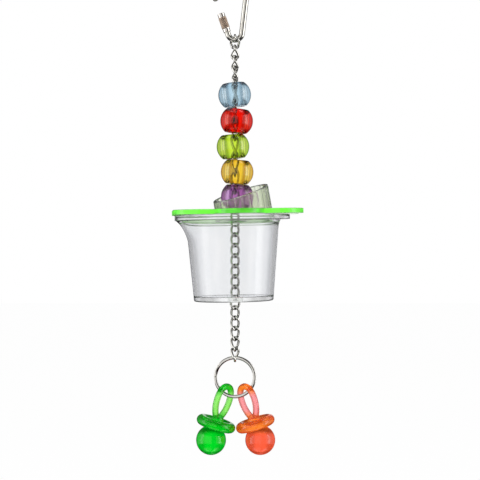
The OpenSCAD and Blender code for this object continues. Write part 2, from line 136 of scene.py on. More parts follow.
class Look:
    """A material or world being put together from nodes."""

    def __init__(self, name, data=None):
        self.data = data or bpy.data.materials.new(name)
        self.data.use_nodes = True
        self.tree = self.data.node_tree
        self.tree.nodes.clear()

    def node(self, kind, settings=None, inputs=None, out=0):
        """Any node: its settings first, a ramp's stops among them, then the values or links of its sockets. A ramp's
        own two stops go once the new ones are in."""
        made = self.tree.nodes.new(kind)
        for key, value in (settings or {}).items():
            if key == "stops":
                stops = made.color_ramp.elements
                for place, colour in value:
                    stops.new(place).color = (*colour, 1)
                stops.remove(stops[0])
                stops.remove(stops[-1])
            else:
                setattr(made, key, value)
        for key, value in (inputs or {}).items():
            if isinstance(value, Value):
                self.tree.links.new(value.socket, made.inputs[key])
            else:
                made.inputs[key].default_value = value
        return Value(self, made.outputs[out]) if made.outputs else made

    def math(self, operation, a, b=None):
        """One Math node on one or two numbers."""
        return self.node("ShaderNodeMath", {"operation": operation}, {0: a} if b is None else {0: a, 1: b})

    def place(self, stretch=(1, 1, 1)):
        """Where a point lies on the object, in millimetres, stretched by the three factors."""
        spot = self.node("ShaderNodeTexCoord", out=3)
        scale = [f / MM for f in stretch]
        return self.node("ShaderNodeVectorMath", {"operation": "MULTIPLY"}, {0: spot, 1: scale})

    def axis(self, which):
        """One coordinate of the place, in millimetres."""
        return self.node("ShaderNodeSeparateXYZ", {}, {0: self.place()}, out="XYZ".index(which))

    def noise(self, size, detail=3, stretch=(1, 1, 1)):
        """Cloudy noise from 0 to 1 whose clouds are about size millimetres wide, drawn out by a stretch below 1."""
        inputs = {"Vector": self.place(stretch), "Scale": 1 / size, "Detail": detail, "Roughness": 0.6}
        return self.node("ShaderNodeTexNoise", {}, inputs)

    def edge(self, power=1.0):
        """0 where the surface faces the eye and 1 at the outline; a high power keeps it close to the outline."""
        return self.math("POWER", self.node("ShaderNodeLayerWeight", {}, {"Blend": 0.5}, out=1), power)

    def marked(self):
        """The number that the mesh carries for the material."""
        return self.node("ShaderNodeAttribute", {"attribute_name": "mark"}, out=2)

    def mix(self, share, first, second):
        """Goes from the first colour to the second as share goes from 0 to 1."""
        first, second = (c if isinstance(c, Value) else (*c, 1) for c in (first, second))
        return self.node("ShaderNodeMix", {"data_type": "RGBA"}, {0: share, 6: first, 7: second}, out=2)

    def bump(self, height, depth, strength=1.0):
        """A normal for a height from 0 to 1 that stands for depth millimetres."""
        return self.node("ShaderNodeBump", {}, {"Height": height, "Distance": depth * MM, "Strength": strength})

    def finish(self, **sockets):
        """Closes the material with one shader; underscores in the sockets' names stand for blanks."""
        inputs = {}
        for key, value in sockets.items():
            key = key.replace("_", " ")
            inputs[key] = (*value, 1) if isinstance(value, tuple) and len(value) == 3 else value
        shader = self.node("ShaderNodeBsdfPrincipled", {}, inputs)
        self.node("ShaderNodeOutputMaterial", {}, {0: shader})
        return self.data


world = bpy.data.worlds.new("white_room")
bpy.context.scene.world = world
room = Look("white_room", world)
way = room.node("ShaderNodeTexCoord", out=0)
way_x, way_y, way_z = (room.node("ShaderNodeSeparateXYZ", {}, {0: way}, out=k) for k in range(3))
turn_share = room.math("ARCTAN2", way_x, 0 - way_y) / (2 * np.pi) + 0.5


def walls(around, up):
    """The brightness of the walls: one ramp of the turn round the toy times one of the rise's sine."""
    around = [((turn + 180) / 360, (v, v, v * wall_blue)) for turn, v in around]
    up = [((rise + 1) / 2, (v, v, v)) for rise, v in up]
    seen_round = room.node("ShaderNodeValToRGB", {"stops": around}, {0: turn_share})
    return seen_round * room.node("ShaderNodeValToRGB", {"stops": up}, {0: way_z * 0.5 + 0.5})


camera_ray, mirrored_ray, through_ray = (room.node("ShaderNodeLightPath", out=k) for k in (0, 3, 6))
seen = room.node("ShaderNodeBackground", {}, {"Color": world_tint, "Strength": world_light})
for ray, colour in (
    (mirrored_ray, walls(mirrored_round, mirrored_up)),
    (through_ray, walls(through_round, through_up)),
    (camera_ray, (1, 1, 1, 1)),
):
    lit = room.node("ShaderNodeBackground", {}, {"Color": colour})
    seen = room.node("ShaderNodeMixShader", {}, {0: ray, 1: seen, 2: lit})
room.node("ShaderNodeOutputWorld", {}, {0: seen})

for name, (turn, rise, power) in soft_boxes.items():
    lamp = bpy.data.lights.new("soft_box_" + name, "AREA")
    lamp.shape, lamp.size, lamp.size_y, lamp.energy = "RECTANGLE", soft_box_w * MM, soft_box_h * MM, power
    holder = bpy.data.objects.new("soft_box_" + name, lamp)
    around, up = np.radians(turn), np.radians(rise)
    away = np.array([np.sin(around) * np.cos(up), -np.cos(around) * np.cos(up), np.sin(up)]) * soft_box_away
    holder.location = (away + [0, 0, toy_middle_z]) * MM
    holder.rotation_euler = Euler((np.pi / 2 - up, 0, around))
    holder.visible_glossy = holder.visible_transmission = False
    bpy.context.scene.collection.objects.link(holder)

floor_look = Look("white_floor")
paint = floor_look.node("ShaderNodeBsdfDiffuse", {}, {"Color": (floor_white, floor_white, floor_white, 1)})
glow = floor_look.node("ShaderNodeEmission", {}, {"Color": (1, 1, 1, 1), "Strength": 1.0})
glow_share = floor_look.node("ShaderNodeLightPath", out=0) * floor_glow
floor_mixed = floor_look.node("ShaderNodeMixShader", {}, {0: glow_share, 1: paint, 2: glow})
floor_look.node("ShaderNodeOutputMaterial", {}, {0: floor_mixed})
floor_mesh = bpy.data.meshes.new("floor")
floor_corners = np.array([(-1, -1, 0), (1, -1, 0), (1, 1, 0), (-1, 1, 0)]) * floor_far + [0, 0, floor_z]
floor_mesh.from_pydata((floor_corners * MM).tolist(), [], [(0, 1, 2, 3)])
floor_mesh.materials.append(floor_look.data)
floor = bpy.data.objects.new("floor", floor_mesh)
floor.visible_glossy = floor.visible_transmission = False
bpy.context.scene.collection.objects.link(floor)


# Pear link: one bent round steel wire, bright nickel over it.
# A big bend at the top and a small one at the bottom are joined by two straight legs, and the left leg is cut
# open; its free end is held by the sleeve once that is screwed up. The legs' ends are turned round.
wire_d = 3.4
low_bend_r = 4.2
top_bend_r = 12.0
bend_gap = 34.4
link_lean = np.radians(6.4)
open_from, open_to = 13.2, 21.5
weld_gap = 0.002
leg_slant = np.arcsin((top_bend_r - low_bend_r) / bend_gap)
leg_len = bend_gap * np.cos(leg_slant)
top_bend_x = -bend_gap * np.sin(link_lean)
top_bend_z = -np.sqrt((top_bend_r - wire_d / 2) ** 2 - top_bend_x**2)
low_bend_z = top_bend_z - bend_gap * np.cos(link_lean)


def turned(points, angle):
    """Points leaned to the left by angle about the Y axis: x cos - z sin, x sin + z cos."""
    x, y, z = np.moveaxis(points, -1, 0)
    c, s = np.cos(angle), np.sin(angle)
    return np.stack([x * c - z * s, y, x * s + z * c], -1)


def swept(path, across, section, closed=False):
    """Carries a flat section along a path: path + a n1 + b n2, with n1 the part of across square to the path."""
    if closed:
        ahead = np.roll(path, -1, 0) - np.roll(path, 1, 0)
    else:
        ahead = np.gradient(path, axis=0)
    ahead /= np.linalg.norm(ahead, axis=-1, keepdims=True)
    across = np.broadcast_to(across, path.shape)
    n1 = across - (across * ahead).sum(-1, keepdims=True) * ahead
    n1 = n1 / np.linalg.norm(n1, axis=-1, keepdims=True)
    n2 = np.cross(ahead, n1)
    section = np.broadcast_to(section, (len(path), *section.shape[-2:]))
    return path[:, None] + section[..., :1] * n1[:, None] + section[..., 1:] * n2[:, None]


def ring(count, width=1.0, height=1.0, corner=1.0):
    """A round section, or with corner below 1 a squarer one: signed powers of cosine and sine."""
    t = np.arange(count) / count * 2 * np.pi
    c, s = np.cos(t), np.sin(t)
    return np.stack([width * np.sign(c) * abs(c) ** corner, height * np.sign(s) * abs(s) ** corner], -1)


def domed(count, dome):
    """How wide a wire is along its length, from 0 to 1: a quarter circle over that many rings at each end."""
    k = np.minimum(np.arange(count), np.arange(count)[::-1])
    return np.sqrt(1 - (1 - np.minimum(k / dome, 1)) ** 2)


def settled(made, look):
    """Applies the piece's modifiers for good, shades it smooth and gives it its material."""
    baked = bpy.data.meshes.new_from_object(made.evaluated_get(bpy.context.evaluated_depsgraph_get()))
    made.modifiers.clear()
    made.data = baked
    baked.name = made.name
    baked.polygons.foreach_set("use_smooth", np.ones(len(baked.polygons), bool))
    baked.materials.clear()
    baked.materials.append(look)


def make(name, grids, look, body, nodes, wraps=(True, True), marks=None):
    """One closed mesh from grids of points, joined round in the directions that wraps says. Doubles are merged, so
    that poles close, and each grid is turned so that it encloses a positive volume. Marks, one number a point, are
    kept for the material. The piece rides on its body and stands for its solids."""
    all_points, all_faces, start = [], [], 0
    for grid in grids:
        rows, columns = grid.shape[:2]
        index = np.arange(rows * columns).reshape(rows, columns)
        wide = np.concatenate([index, index[:, :1]], 1) if wraps[1] else index
        tall = np.concatenate([wide, wide[:1]], 0) if wraps[0] else wide
        quads = np.stack([tall[:-1, :-1], tall[1:, :-1], tall[1:, 1:], tall[:-1, 1:]], -1).reshape(-1, 4)
        points = grid.reshape(-1, 3)
        a, b, c, d = (points[quads[:, k]] for k in range(4))
        volume = (np.einsum("ij,ij->i", a, np.cross(b, c)) + np.einsum("ij,ij->i", a, np.cross(c, d))).sum()
        all_faces.append((quads if volume > 0 else quads[:, ::-1]) + start)
        all_points.append(points * MM)
        start += len(points)
    mesh = bpy.data.meshes.new(name)
    mesh.from_pydata(np.concatenate(all_points).tolist(), [], np.concatenate(all_faces).tolist())
    mesh.update()
    if marks is not None:
        mark = mesh.attributes.new("mark", "FLOAT", "POINT")
        mark.data.foreach_set("value", np.concatenate([m.ravel() for m in marks]).astype(np.float32))
    made = bpy.data.objects.new(name, mesh)
    bpy.context.scene.collection.objects.link(made)
    made.modifiers.new("close", "WELD").merge_threshold = weld_gap * MM
    settled(made, look)
    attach(made, body)
    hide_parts(*nodes)
    return made


def plated(name, bright, dull, edge_tint=(1, 1, 1), outline=None):
    """Nickel plate: mirror metal that clouds a little where it is handled. Given an outline colour, it also gets
    painted shade: dark at its outline, and dark where the links lie close to each other."""
    look = Look(name)
    clouds = look.noise(2.6, 4)
    colour = look.mix(clouds.step(0.35, 0.75), bright, dull)
    rough = 0.08 + clouds.step(0.4, 0.8) * 0.1
    if outline:
        # Painted shade: the marks near the other links and the outline darken the colour towards the outline colour.
        dark = look.math("MAXIMUM", look.marked().step(0.1, 0.6), look.edge(3.0))
        colour = look.mix(dark, colour, outline)
    return look.finish(
        Base_Color=colour, Metallic=1.0, Roughness=rough, Specular_Tint=edge_tint, Normal=look.bump(clouds, 0.01, 0.3))


def pear_path(step=0.35):
    """Along the wire: up the left leg from the cut, round the top, down the right leg, round the bottom, up again."""
    def leg(side, start, end):
        """A straight leg: from where it touches the low bend, s along the leg's slant."""
        s = np.linspace(start, end, int(abs(end - start) / step) + 2)[:-1]
        x = side * (low_bend_r * np.cos(leg_slant) + s * np.sin(leg_slant))
        return np.stack([x, 0 * s, s * np.cos(leg_slant) - low_bend_r * np.sin(leg_slant)], -1)

    def arc(radius, height, start, end):
        """A bend: radius times the cosine and sine of the angle, about a middle at that height."""
        t = np.linspace(start, end, int(abs(end - start) * radius / step) + 2)[:-1]
        return np.stack([radius * np.cos(t), 0 * t, radius * np.sin(t) + height], -1)

    return np.concatenate([
        leg(-1, open_to, leg_len),
        arc(top_bend_r, bend_gap, np.pi + leg_slant, -leg_slant),
        leg(1, leg_len, 0),
        arc(low_bend_r, 0, -leg_slant, -np.pi + leg_slant),
        leg(-1, 0, open_from),
    ])


pear = pear_path()
pear_section = ring(28) * wire_d / 2 * domed(len(pear), 4)[:, None, None]
pear_points = turned(swept(pear, (0, 1, 0), pear_section), link_lean) + [0, 0, low_bend_z]
nickel_wire = plated("nickel_wire", (0.80, 0.775, 0.71), (0.70, 0.67, 0.61), (0.7, 0.7, 0.7))
make("pear_wire", [pear_points], nickel_wire, "pear_link", ["pear_link"], (False, True))


# Lock sleeve: a small turned barrel of nickelled brass, threaded inside.
# Slanted grooves are rolled round its middle for the fingers, and both ends are left smooth and a little narrower.
# Screwed down as here it leaves the mouth open.
sleeve_d, sleeve_len, sleeve_from = 4.8, 11.8, 1.9
sleeve_bore_r = wire_d / 2 + 0.07
sleeve_edge = 0.35
grip_len, grip_proud, grip_fade = 6.8, 0.25, 0.08
groove_count, groove_depth = 18, 0.17
groove_slant, cross_slant = 0.55, 0.33


def sleeve_points(rounds=216, heights=150):
    """A barrel, closed by its bore: the radius rises to the grip in a smooth step of the height, less quarter circles
    at the ends and two crossing waves of the angle and the height. Marks the grip with 1."""
    turn = np.arange(rounds) / rounds * 2 * np.pi
    h = np.linspace(0, sleeve_len, heights)
    grip = 1 / (1 + np.exp((abs(h - sleeve_len / 2) - grip_len / 2) / grip_fade))
    end = np.minimum(h, sleeve_len - h)
    edge = sleeve_edge * (1 - np.sqrt(1 - (1 - np.clip(end / sleeve_edge, 0, 1)) ** 2))
    angle, height = np.meshgrid(turn, h, indexing="ij")
    wave = 0.5 + 0.5 * np.cos(groove_count * (angle + groove_slant * height / (sleeve_d / 2)))
    cross = 0.5 + 0.5 * np.cos(groove_count * (angle - cross_slant * height / (sleeve_d / 2)))
    r = sleeve_d / 2 - grip_proud + grip_proud * grip - edge
    r = r - grip * groove_depth * (0.75 * wave**2 + 0.25 * cross**2)
    bore = np.broadcast_to(sleeve_len * np.array([1, 0.98, 0.5, 0.02, 0]), (rounds, 5))
    r, height = np.concatenate([r, 0 * bore + sleeve_bore_r], 1), np.concatenate([height, bore], 1)
    on_grip = np.broadcast_to(np.append(grip, np.zeros(5)), r.shape)
    return np.stack([r * np.cos(turn)[:, None], r * np.sin(turn)[:, None], height], -1), on_grip


sleeve_look = Look("rolled_sleeve")
sleeve_clouds = sleeve_look.noise(1.2, 4)
sleeve_grain = sleeve_look.noise(0.16, 2, (1, 1, 3))
sleeve_colour = sleeve_look.mix(sleeve_clouds.step(0.3, 0.7), (0.58, 0.45, 0.35), (0.46, 0.34, 0.26))
sleeve_colour = sleeve_look.mix(sleeve_look.marked(), (0.86, 0.80, 0.74), sleeve_colour)
sleeve_metal = sleeve_look.finish(
    Base_Color=sleeve_colour, Metallic=1.0, Roughness=0.1 + sleeve_look.marked() * (0.3 + sleeve_clouds * 0.15),
    Normal=sleeve_look.bump(sleeve_grain, 0.01, 0.3))
sleeve, on_grip = sleeve_points()
along_leg = turned(sleeve + [0, 0, sleeve_from], leg_slant)
along_leg = along_leg + [-low_bend_r * np.cos(leg_slant), 0, -low_bend_r * np.sin(leg_slant)]
in_place = turned(along_leg, link_lean) + [0, 0, low_bend_z]
make("sleeve", [in_place], sleeve_metal, "lock_sleeve", ["lock_sleeve"], marks=[on_grip])


# Chain: twist-link chain of bright nickelled wire, each link bent from one piece, butted in the middle of a side
# and twisted a quarter turn, so that the next one lies square to it. The row turns back a quarter inside the
# beads, and its end links face the wires that they hang on.
chain_wire_d = 1.4
link_pitch, link_play = 6.25, 0.35
link_half_w, stop_half_w = 2.15, 2.6
hook_half_w = wire_d / 2 + chain_wire_d / 2 + 1.25
link_turn = np.radians(45)
link_total, stop_number, facing_links = 31, 26, 3
butt_dip, butt_len = 0.05, 0.12
# The painted shade between links: how far from the next wire it is full, and over what distance it fades.
crook_from, crook_reach = 0.15, 1.15
chain_twist, twist_from, twist_links = np.radians(90), 6, 12
link_len = link_pitch + chain_wire_d + link_play
chain_top = low_bend_z - low_bend_r + wire_d / 2 + chain_wire_d / 2 + link_play


def link_points(number, steps=112, sides=16):
    """An oval of wire: a half circle of the top half width, a side, a half circle of the low half width, a side. It
    turns about Z by a smooth step of the depth, from a facing that changes evenly along parts of the row, and dips
    by a bell of the length at the butt. Gives the wire and its path."""
    top_w = hook_half_w if number == 1 else link_half_w
    low_w = stop_half_w if number == stop_number else link_half_w
    side = link_len - top_w - low_w
    leg = np.hypot(side, top_w - low_w)
    ends = np.cumsum([np.pi * top_w, leg, np.pi * low_w, leg])
    s = np.arange(steps) / steps * ends[3]
    t, u, v, q = s / top_w, (s - ends[0]) / leg, (s - ends[1]) / low_w, (s - ends[2]) / leg
    part = [s < ends[0], s < ends[1], s < ends[2], s < ends[3]]
    x = np.select(part, [
        top_w * np.cos(t), -top_w + (top_w - low_w) * u, -low_w * np.cos(v), low_w + (top_w - low_w) * q])
    low_z = low_w - link_len
    z = np.select(part, [top_w * np.sin(t) - top_w, -top_w - side * u, low_z - low_w * np.sin(v), low_z + side * q])
    f = np.clip(-z / link_len, 0, 1)
    facing = chain_twist * (1 - min(1, max(0, (number - twist_from) / twist_links)))
    facing += (np.pi / 2 + link_turn - chain_twist) * max(0, 1 - (number - 1) / facing_links)
    facing += (np.pi / 2 - link_turn) * max(0, 1 - (link_total - number) / facing_links)
    angle = facing - link_turn * (1 - 2 * f * f * (3 - 2 * f))
    path = np.stack([x * np.cos(angle), x * np.sin(angle), z], -1)
    across = np.stack([-np.sin(angle), np.cos(angle), 0 * angle], -1)
    butt = 1 - butt_dip * np.exp(-(((s - ends[0] - leg / 2) / butt_len) ** 2))
    section = ring(sides) * chain_wire_d / 2 * butt[:, None, None]
    place = [0, 0, chain_top - (number - 1) * link_pitch]
    return swept(path, across, section, closed=True) + place, path + place


def near(points, paths):
    """1 where a point of a wire almost touches the wires along the other paths, falling evenly over a distance."""
    away = np.linalg.norm(points[:, :, None] - np.concatenate(paths), axis=-1).min(-1) - chain_wire_d / 2
    return 1 - np.clip((away - crook_from) / crook_reach, 0, 1)


# The last colour is the painted shade at the outline and between the links.
bright_nickel = plated("bright_nickel", (0.92, 0.91, 0.86), (0.80, 0.78, 0.72), (0.4, 0.4, 0.4), (0.05, 0.045, 0.04))
chain_runs = {"hook_chain": (1, 1), "core_chain": (2, 26), "tail_chain": (27, 29), "end_chain": (30, 31)}
links, paths = zip(*[link_points(number) for number in range(1, link_total + 1)])
# Painted shade marks: 1 where a link's wire lies close to the wires of the links next to it.
crook_shade = [near(link, paths[max(k - 1, 0) : k] + paths[k + 1 : k + 2]) for k, link in enumerate(links)]
for node, (first, last) in chain_runs.items():
    run = slice(first - 1, last)
    make(node.replace("chain", "links"), links[run], bright_nickel, node, [node], marks=crook_shade[run])


# Beads: five large see-through acrylic beads, moulded with a wide hole and bulging sides.
# The top one is frosted, the others are polished. They sit crooked on each other, as they hang on the chain.
bead_d, bead_len, bead_flat_d, bead_hole_d = 19.6, 14.2, 12.8, 9.8
bead_leans = {"blue": 6.0, "red": -6.0, "lime": 4.5, "amber": -4.0, "purple": -2.0}
bead_edge_r, bead_hole_edge_r, bead_edge_steps = 0.7, 0.45, 6
hole_mark_depth = 0.1


def rounded(corners, radii, steps):
    """A closed outline whose corners with a radius give way to arcs: from the arc's middle, on the corner's bisector
    at radius over sine of the half angle, the arc goes in even turns from one touching point to the other."""
    soft = radii > 0
    here, radius = corners[soft], radii[soft, None]
    a, b = (np.roll(corners, shift, 0)[soft] - here for shift in (1, -1))
    a, b = (side / np.linalg.norm(side, axis=1, keepdims=True) for side in (a, b))
    half = np.arccos((a * b).sum(1, keepdims=True)) / 2
    middle = here + (a + b) / np.linalg.norm(a + b, axis=1, keepdims=True) * radius / np.sin(half)
    start, end = ((here + side * radius / np.tan(half) - middle)[:, None] for side in (a, b))
    spread = np.arccos((start * end).sum(-1, keepdims=True) / radius[:, None] ** 2)
    share = np.linspace(0, 1, steps)[:, None]
    line = np.repeat(corners[:, None], steps, 1)
    line[soft] = middle[:, None] + (
        np.sin((1 - share) * spread) * start + np.sin(share * spread) * end) / np.sin(spread)
    return line[soft[:, None] | (np.arange(steps) == 0)]


def revolved(outline, rounds=144):
    """An outline of (radius, height) points carried round Z: r cos t, r sin t, z."""
    t = np.arange(rounds) / rounds * 2 * np.pi
    r, z = outline[:, 0], outline[:, 1]
    return np.stack([np.outer(np.cos(t), r), np.outer(np.sin(t), r), np.broadcast_to(z, (rounds, len(z)))], -1)


def bead_points(lean, middle):
    """A barrel: its side is an arc over the two flats, of the radius (h h + b b) / 2 b for half length h and bulge
    b, with a straight hole and softly broken edges. Marks the hole's wall with 1."""
    half, hole = bead_len / 2, bead_hole_d / 2
    bulge = (bead_d - bead_flat_d) / 2
    bulge_r = (half**2 + bulge**2) / (2 * bulge)
    z = np.linspace(-half, half, 36)
    side = np.stack([bead_d / 2 - bulge_r + np.sqrt(bulge_r**2 - z**2), z], -1)
    radii = np.zeros(len(side) + 2)
    radii[[0, len(side) - 1]] = bead_edge_r
    radii[-2:] = bead_hole_edge_r
    outline = rounded(np.concatenate([side, [[hole, half], [hole, -half]]]), radii, bead_edge_steps)
    straight = half - bead_hole_edge_r
    hole_wall = np.linspace(straight, -straight, 24)[1:-1, None] * [0, 1] + [hole, 0]
    outline = np.concatenate([outline[:-bead_edge_steps], hole_wall, outline[-bead_edge_steps:]])
    points = revolved(outline)
    on_hole = np.hypot(points[..., 0], points[..., 1]) < hole + hole_mark_depth
    return turned(points, np.radians(lean)) + middle, on_hole


def see_through(name, tint, rim, rough=0.03, clear=1.0, swirl=5.0, wave=0.02):
    """Coloured clear plastic: slow swirls of thicker colour, a painted dark outline for the shade at the edges, faint
    flow waves, a few fine rubs. The colour is squared off the hole's wall, a painted deeper shade for the light
    passing through more plastic beside the hole."""
    look = Look(name)
    swirls = look.noise(swirl, 3, (1, 1, 0.5))
    rubs = look.noise(0.7, 4)
    colour = look.mix(swirls.step(0.35, 0.65), [v**1.4 for v in tint], tint)
    # Painted shade: deeper colour away from the front of the outer side, and a dark outline in the rim colour.
    beside = (1 - look.marked()) * look.edge().step(0.10, 0.22)
    colour = look.mix(beside, colour, [v**2 for v in tint])
    colour = look.mix(look.edge(1.3), colour, rim)
    return look.finish(
        Base_Color=colour, Roughness=rough + rubs.step(0.5, 0.8) * 0.05, IOR=1.49,
        Transmission_Weight=clear, Normal=look.bump(swirls * 0.8 + rubs * 0.2, wave, 0.6))


# The second colour of each bead is its painted dark outline.
bead_looks = {
    "blue": see_through("frosted_blue", (0.78, 0.91, 0.98), (0.10, 0.26, 0.42), 0.12, 0.96, 4.0, 0.04),
    "red": see_through("clear_red", (1.0, 0.15, 0.08), (0.42, 0.0, 0.01)),
    "lime": see_through("clear_lime", (0.84, 0.96, 0.29), (0.10, 0.36, 0.01)),
    "amber": see_through("clear_amber", (1.0, 0.85, 0.28), (0.66, 0.16, 0.005)),
    "purple": see_through("clear_purple", (0.80, 0.50, 0.84), (0.12, 0.0, 0.22)),
}
for colour, lean in bead_leans.items():
    node = colour + "_bead"
    low, high = (np.array(corner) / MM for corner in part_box(node))
    barrel, on_hole = bead_points(lean, (low + high) / 2)
    make(colour + "_barrel", [barrel], bead_looks[colour], node, [node], marks=[on_hole])


# Slanted ring: a pale green milky ring that stands round the lowest bead.
# It is moulded with fine ribs inside, cut off level below and on a slant above, and leans a little to the left.
rig_lean = np.radians(1)
cup_r_low, cup_shift = 23.9, 0.7
cup_low = np.array(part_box("clear_cup")[0]) / MM
hole_floor = np.array([0, 0, cup_low[2] + (cup_r_low + cup_shift) * np.sin(rig_lean)])
cup_h, seat, lid_t = 51.5, 0.3, 3.0
lid_low = cup_h + seat
lid_high = lid_low + lid_t
ring_d, ring_wall, ring_h, ring_edge = 34.1, 2.0, 10.4, 0.45
cut_right, cut_back = np.radians(16.7), np.radians(8.3)
ring_lean, ring_right = np.radians(9), 5.1
ring_ribs, rib_r = 20, 0.5


def slant_ring_points(rounds=480):
    """A leaning tube: each upright line runs from the lid's plane to the plane of the slanted cut, whose edges are
    quarter circles, and the inner wall swells by a half circle at each rib."""
    t = np.arange(rounds)[:, None] / rounds * 2 * np.pi
    a = np.linspace(0, np.pi / 2, 5)
    share = np.linspace(0, 1, 14)[1:-1]
    depth = np.concatenate([
        ring_edge * (1 - np.sin(a)), [ring_wall / 2], ring_wall - ring_edge * (1 - np.cos(a)),
        0 * share + ring_wall, [ring_wall, ring_wall / 2, 0], 0 * share])
    top_fall = np.concatenate([ring_edge * (1 - np.cos(a)), [0], ring_edge * (1 - np.sin(a))])
    fall = np.append(top_fall, np.zeros(2 * len(share) + 3))
    part = np.concatenate([0 * top_fall + 1, share[::-1], [0, 0, 0], share])
    near_rib = (t * ring_ribs / (2 * np.pi) + 0.5) % 1 - 0.5
    off = near_rib * 2 * np.pi / ring_ribs * (ring_d / 2 - ring_wall)
    thick = ring_wall + np.sqrt(np.clip(rib_r**2 - off**2, 0, None))
    r = ring_d / 2 - thick + depth / ring_wall * thick
    x, y = r * np.cos(t), r * np.sin(t)
    c, s = np.cos(ring_lean), np.sin(ring_lean)
    slope_x, slope_y = np.tan(cut_right), np.tan(cut_back) / np.cos(cut_right)
    low = -x * np.tan(ring_lean)
    high = (ring_h + slope_x * x * c + slope_y * y - x * s) / (c + slope_x * s)
    h = low + (high - low) * part - fall
    return np.stack([x * c - h * s, y, x * s + h * c], -1)


milky = Look("milky_green")
milky_clouds = milky.noise(3.0, 4, (1, 1, 0.4))
milky_streaks = milky.noise(0.9, 3, (1, 1, 0.08))
milky_colour = milky.mix(milky_clouds.step(0.3, 0.7), (0.81, 0.88, 0.68), (0.93, 0.95, 0.86))
milky_colour = milky.mix(milky_streaks.step(0.5, 0.75), milky_colour, (0.70, 0.79, 0.60))
# Painted shade: the outline darkens to a deep grey green.
milky_colour = milky.mix(milky.edge(2.5), milky_colour, (0.34, 0.46, 0.28))
milky_plastic = milky.finish(
    Base_Color=milky_colour, Roughness=0.1 + milky_streaks * 0.1, IOR=1.45, Transmission_Weight=0.93,
    Normal=milky.bump(milky_streaks, 0.06, 0.7))
ring_foot = np.array([(ring_right + lid_high * np.sin(rig_lean)) / np.cos(rig_lean), 0, lid_high])
on_lid = turned(slant_ring_points() + ring_foot, rig_lean) + hole_floor
make("slant_tube", [on_lid], milky_plastic, "lid", ["slant_ring"])


# Flower lid: a flower cut from one sheet of fluorescent green acrylic.
# Six round petals, polished edges that gather light, and a hole for the chain. It rests on the cup's rim.
petals, petal_r, petal_out, petal_turn = 6, 14.8, 27.6, np.radians(3.5)
lid_hole_d, lid_right, lid_edge = 7.4, 1.1, 0.4


def lid_points(rounds=720):
    """A plate between its hole and the petals' rim, d cos a + sqrt(r r - d d sin a sin a) from the middle for a
    petal of radius r at distance d. The rim's edges are quarter circles, and the hole has a middle of its own."""
    t = np.arange(rounds)[:, None] / rounds * 2 * np.pi
    from_petal = (t - petal_turn + np.pi / 2 + np.pi / petals) % (2 * np.pi / petals) - np.pi / petals
    rim = petal_out * np.cos(from_petal) + np.sqrt(petal_r**2 - (petal_out * np.sin(from_petal)) ** 2)
    a = np.linspace(0, np.pi / 2, 6)
    share = np.linspace(0, 1, 10)[1:-1]
    part = np.concatenate([0 * a, 0 * a, share, [1, 1, 1], share[::-1]])
    inset = np.append(lid_edge * (1 - np.concatenate([np.sin(a), np.cos(a)])), np.zeros(2 * len(share) + 3))
    z = np.concatenate([
        lid_edge * (1 - np.cos(a)), lid_t - lid_edge * (1 - np.sin(a)), 0 * share + lid_t, [lid_t, lid_t / 2, 0],
        0 * share])
    r = (rim - inset) * (1 - part) + lid_hole_d / 2 * part
    return np.stack([r * np.cos(t) - lid_right * part, r * np.sin(t), np.broadcast_to(z, r.shape)], -1)


neon = Look("fluorescent_green")
neon_clouds = neon.noise(9.0, 2)
neon_rubs = neon.noise(0.8, 4)
upward = neon.node("ShaderNodeSeparateXYZ", {}, {0: neon.node("ShaderNodeNewGeometry", out=1)}, out=2)
on_edge = 1 - neon.math("ABSOLUTE", upward)
neon_colour = neon.mix(neon_clouds.step(0.3, 0.7), (0.62, 0.93, 0.50), (0.70, 0.95, 0.58))
neon_colour = neon.mix(on_edge, neon_colour, (0.13, 0.66, 0.04))
# Painted light: the edges glow green, though the lid is no lamp.
painted_edge_glow = neon.mix(on_edge, (0.0, 0.01, 0.0), (0.13, 0.66, 0.05))
neon_acrylic = neon.finish(
    Base_Color=neon_colour, Roughness=0.06 + neon_rubs.step(0.5, 0.8) * 0.08, IOR=1.49, Transmission_Weight=0.88,
    Emission_Color=painted_edge_glow, Emission_Strength=0.42, Normal=neon.bump(neon_rubs, 0.01, 0.4))
lid_foot = np.array([(lid_right + lid_low * np.sin(rig_lean)) / np.cos(rig_lean), 0, lid_low])
flower = turned(lid_points() + lid_foot, rig_lean) + hole_floor
make("flower", [flower], neon_acrylic, "lid", ["flower_lid"])


# Cup: a thick clear cup, moulded in one piece.
# Its wall widens upwards and flares into a flat flange, a lip is pulled out on its left, and a hole in the
# floor lets the chain through.
neck_r, flange_r, flange_t = 27.6, 34.6, 3.0
flare_h, flare_w, flare_power = 5.5, 1.5, 2.2
wall, floor_t, floor_hole_d, floor_mid_r = 2.8, 2.8, 6.2, 12
foot_edge_r, inner_foot_r, hole_edge_r = 1.1, 0.9, 0.35
flange_edges_r = (0.5, 0.6, 0.6)
hole_land, hole_frost, slide_room, wall_room = 0.6, 0.4, 4, 3
lip_reach, lip_drop, lip_spread, lip_power = 4.9, 13.5, 0.36, 1.7


